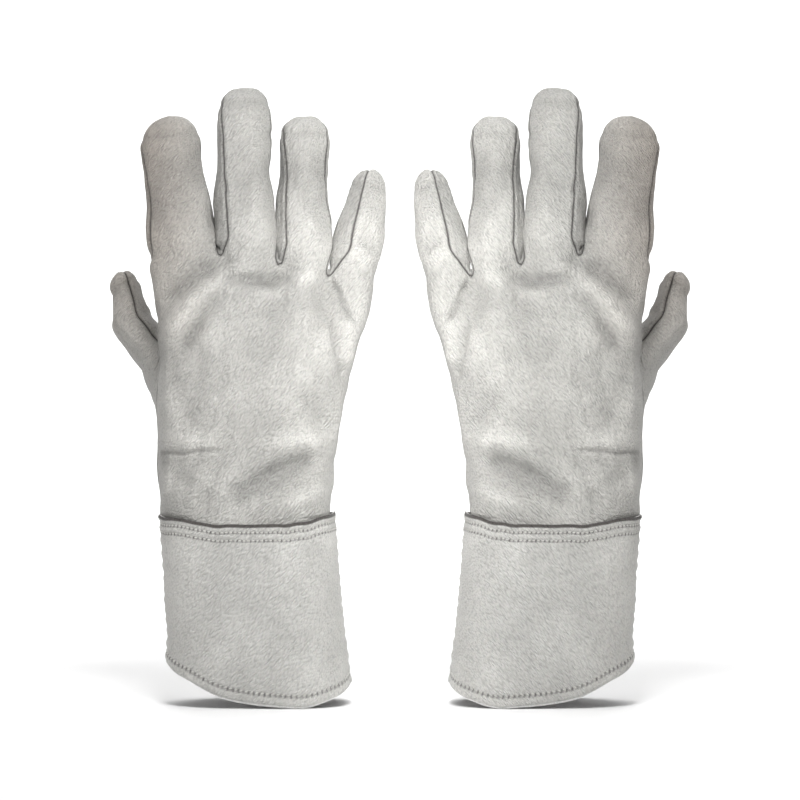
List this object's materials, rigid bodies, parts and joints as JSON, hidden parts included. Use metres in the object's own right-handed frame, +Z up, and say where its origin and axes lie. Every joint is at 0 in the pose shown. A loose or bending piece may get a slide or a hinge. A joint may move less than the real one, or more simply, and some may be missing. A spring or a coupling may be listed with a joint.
{
  "type": "pair of welding gloves",
  "caption": "Pair of gauntlet welding gloves in pale grain leather, standing on their stitched cuffs, with bending wrists, fingers and thumbs.",
  "frame": {"origin": "on the ground under the middle of the pair", "axes": "+Z up, along the fingers; the backs of the hands face -Y; the right hand's glove is at -X"},
  "size_m": [0.337, 0.0822, 0.3499],
  "materials": {
    "hand_leather": "fine pebbled grain, soft sheen",
    "cuff_leather": "fine pebbled grain, soft sheen",
    "facing_leather": "matt, sueded",
    "thread": "matt twisted thread"
  },
  "bodies": {
    "right_cuff": {"right_cuff_back": "cuff_leather", "right_cuff_palm": "cuff_leather", "right_cuff_facing": "facing_leather", "right_cuff_thread": "thread", "right_hem_thread": "thread", "right_wrist_fold": "hand_leather"},
    "right_hand": {"right_hand_back": "hand_leather", "right_hand_palm": "hand_leather", "right_thumb_gusset": "hand_leather", "right_root_folds": "hand_leather"},
    "right_index_root": {"right_index_lower": "hand_leather", "right_index_knuckle_fold": "hand_leather"},
    "right_index_tip": {"right_index_tip_back": "hand_leather", "right_index_tip_front": "hand_leather"},
    "right_middle_root": {"right_middle_lower": "hand_leather", "right_middle_knuckle_fold": "hand_leather"},
    "right_middle_tip": {"right_middle_tip_back": "hand_leather", "right_middle_tip_front": "hand_leather"},
    "right_ring_root": {"right_ring_lower": "hand_leather", "right_ring_knuckle_fold": "hand_leather"},
    "right_ring_tip": {"right_ring_tip_back": "hand_leather", "right_ring_tip_front": "hand_leather"},
    "right_small_root": {"right_small_lower": "hand_leather", "right_small_knuckle_fold": "hand_leather"},
    "right_small_tip": {"right_small_tip_back": "hand_leather", "right_small_tip_front": "hand_leather"},
    "right_thumb_root": {"right_thumb_lower": "hand_leather", "right_thumb_knuckle_fold": "hand_leather"},
    "right_thumb_tip": {"right_thumb_tip_back": "hand_leather", "right_thumb_tip_front": "hand_leather"},
    "left_cuff": {"left_cuff_back": "cuff_leather", "left_cuff_palm": "cuff_leather", "left_cuff_facing": "facing_leather", "left_cuff_thread": "thread", "left_hem_thread": "thread", "left_wrist_fold": "hand_leather"},
    "left_hand": {"left_hand_back": "hand_leather", "left_hand_palm": "hand_leather", "left_thumb_gusset": "hand_leather", "left_root_folds": "hand_leather"},
    "left_index_root": {"left_index_lower": "hand_leather", "left_index_knuckle_fold": "hand_leather"},
    "left_index_tip": {"left_index_tip_back": "hand_leather", "left_index_tip_front": "hand_leather"},
    "left_middle_root": {"left_middle_lower": "hand_leather", "left_middle_knuckle_fold": "hand_leather"},
    "left_middle_tip": {"left_middle_tip_back": "hand_leather", "left_middle_tip_front": "hand_leather"},
    "left_ring_root": {"left_ring_lower": "hand_leather", "left_ring_knuckle_fold": "hand_leather"},
    "left_ring_tip": {"left_ring_tip_back": "hand_leather", "left_ring_tip_front": "hand_leather"},
    "left_small_root": {"left_small_lower": "hand_leather", "left_small_knuckle_fold": "hand_leather"},
    "left_small_tip": {"left_small_tip_back": "hand_leather", "left_small_tip_front": "hand_leather"},
    "left_thumb_root": {"left_thumb_lower": "hand_leather", "left_thumb_knuckle_fold": "hand_leather"},
    "left_thumb_tip": {"left_thumb_tip_back": "hand_leather", "left_thumb_tip_front": "hand_leather"}
  },
  "joints": [
    {"name": "right_wrist", "type": "hinge", "parent": "right_cuff", "child": "right_hand", "pos_m": [-0.085, -0.00764, 0.124], "axis": [-1, 0, 0], "range_deg": [-30, 35], "deforming": ["right_wrist_fold"]},
    {"name": "right_index_base", "type": "hinge", "parent": "right_hand", "child": "right_index_root", "pos_m": [-0.12232, -0.00864, 0.25832], "axis": [-0.9919, 0, -0.1271], "range_deg": [-20, 55], "deforming": ["right_root_folds"]},
    {"name": "right_index_knuckle", "type": "hinge", "parent": "right_index_root", "child": "right_index_tip", "pos_m": [-0.12644, -0.00523, 0.29047], "axis": [-0.9919, 0, -0.1271], "range_deg": [-10, 60], "deforming": ["right_index_knuckle_fold"]},
    {"name": "right_middle_base", "type": "hinge", "parent": "right_hand", "child": "right_middle_root", "pos_m": [-0.08795, -0.01064, 0.261], "axis": [-0.9999, 0, -0.014], "range_deg": [-20, 55]},
    {"name": "right_middle_knuckle", "type": "hinge", "parent": "right_middle_root", "child": "right_middle_tip", "pos_m": [-0.08851, -0.00577, 0.3007], "axis": [-0.9999, 0, -0.014], "range_deg": [-10, 60], "deforming": ["right_middle_knuckle_fold"]},
    {"name": "right_ring_base", "type": "hinge", "parent": "right_hand", "child": "right_ring_root", "pos_m": [-0.05447, -0.00964, 0.2564], "axis": [-1, 0, -0.007], "range_deg": [-20, 55]},
    {"name": "right_ring_knuckle", "type": "hinge", "parent": "right_ring_root", "child": "right_ring_tip", "pos_m": [-0.05471, -0.00483, 0.29066], "axis": [-1, 0, -0.007], "range_deg": [-10, 60], "deforming": ["right_ring_knuckle_fold"]},
    {"name": "right_small_base", "type": "hinge", "parent": "right_hand", "child": "right_small_root", "pos_m": [-0.02556, -0.00664, 0.24968], "axis": [-0.9866, 0, 0.1633], "range_deg": [-20, 55]},
    {"name": "right_small_knuckle", "type": "hinge", "parent": "right_small_root", "child": "right_small_tip", "pos_m": [-0.02166, -0.00285, 0.27326], "axis": [-0.9866, 0, 0.1633], "range_deg": [-10, 60], "deforming": ["right_small_knuckle_fold"]},
    {"name": "right_thumb_base", "type": "hinge", "parent": "right_hand", "child": "right_thumb_root", "pos_m": [-0.13819, 0.01722, 0.19333], "axis": [-0.28, 0.8582, -0.4303], "range_deg": [-15, 30]},
    {"name": "right_thumb_knuckle", "type": "hinge", "parent": "right_thumb_root", "child": "right_thumb_tip", "pos_m": [-0.15405, 0.02322, 0.21561], "axis": [-0.28, 0.8582, -0.4303], "range_deg": [-15, 30], "deforming": ["right_thumb_knuckle_fold"]},
    {"name": "glove_spacing_slide", "type": "slide", "parent": "right_cuff", "child": "left_cuff", "axis": [1, 0, 0], "range_m": [0, 0.1]},
    {"name": "left_wrist", "type": "hinge", "parent": "left_cuff", "child": "left_hand", "pos_m": [0.085, -0.00764, 0.124], "axis": [-1, 0, 0], "range_deg": [-30, 35], "deforming": ["left_wrist_fold"]},
    {"name": "left_index_base", "type": "hinge", "parent": "left_hand", "child": "left_index_root", "pos_m": [0.12232, -0.00864, 0.25832], "axis": [-0.9919, 0, 0.1271], "range_deg": [-20, 55], "deforming": ["left_root_folds"]},
    {"name": "left_index_knuckle", "type": "hinge", "parent": "left_index_root", "child": "left_index_tip", "pos_m": [0.12644, -0.00523, 0.29047], "axis": [-0.9919, 0, 0.1271], "range_deg": [-10, 60], "deforming": ["left_index_knuckle_fold"]},
    {"name": "left_middle_base", "type": "hinge", "parent": "left_hand", "child": "left_middle_root", "pos_m": [0.08795, -0.01064, 0.261], "axis": [-0.9999, 0, 0.014], "range_deg": [-20, 55]},
    {"name": "left_middle_knuckle", "type": "hinge", "parent": "left_middle_root", "child": "left_middle_tip", "pos_m": [0.08851, -0.00577, 0.3007], "axis": [-0.9999, 0, 0.014], "range_deg": [-10, 60], "deforming": ["left_middle_knuckle_fold"]},
    {"name": "left_ring_base", "type": "hinge", "parent": "left_hand", "child": "left_ring_root", "pos_m": [0.05447, -0.00964, 0.2564], "axis": [-1, 0, 0.007], "range_deg": [-20, 55]},
    {"name": "left_ring_knuckle", "type": "hinge", "parent": "left_ring_root", "child": "left_ring_tip", "pos_m": [0.05471, -0.00483, 0.29066], "axis": [-1, 0, 0.007], "range_deg": [-10, 60], "deforming": ["left_ring_knuckle_fold"]},
    {"name": "left_small_base", "type": "hinge", "parent": "left_hand", "child": "left_small_root", "pos_m": [0.02556, -0.00664, 0.24968], "axis": [-0.9866, 0, -0.1633], "range_deg": [-20, 55]},
    {"name": "left_small_knuckle", "type": "hinge", "parent": "left_small_root", "child": "left_small_tip", "pos_m": [0.02166, -0.00285, 0.27326], "axis": [-0.9866, 0, -0.1633], "range_deg": [-10, 60], "deforming": ["left_small_knuckle_fold"]},
    {"name": "left_thumb_base", "type": "hinge", "parent": "left_hand", "child": "left_thumb_root", "pos_m": [0.13819, 0.01722, 0.19333], "axis": [-0.28, -0.8582, 0.4303], "range_deg": [-15, 30]},
    {"name": "left_thumb_knuckle", "type": "hinge", "parent": "left_thumb_root", "child": "left_thumb_tip", "pos_m": [0.15405, 0.02322, 0.21561], "axis": [-0.28, -0.8582, 0.4303], "range_deg": [-15, 30], "deforming": ["left_thumb_knuckle_fold"]}
  ]
}
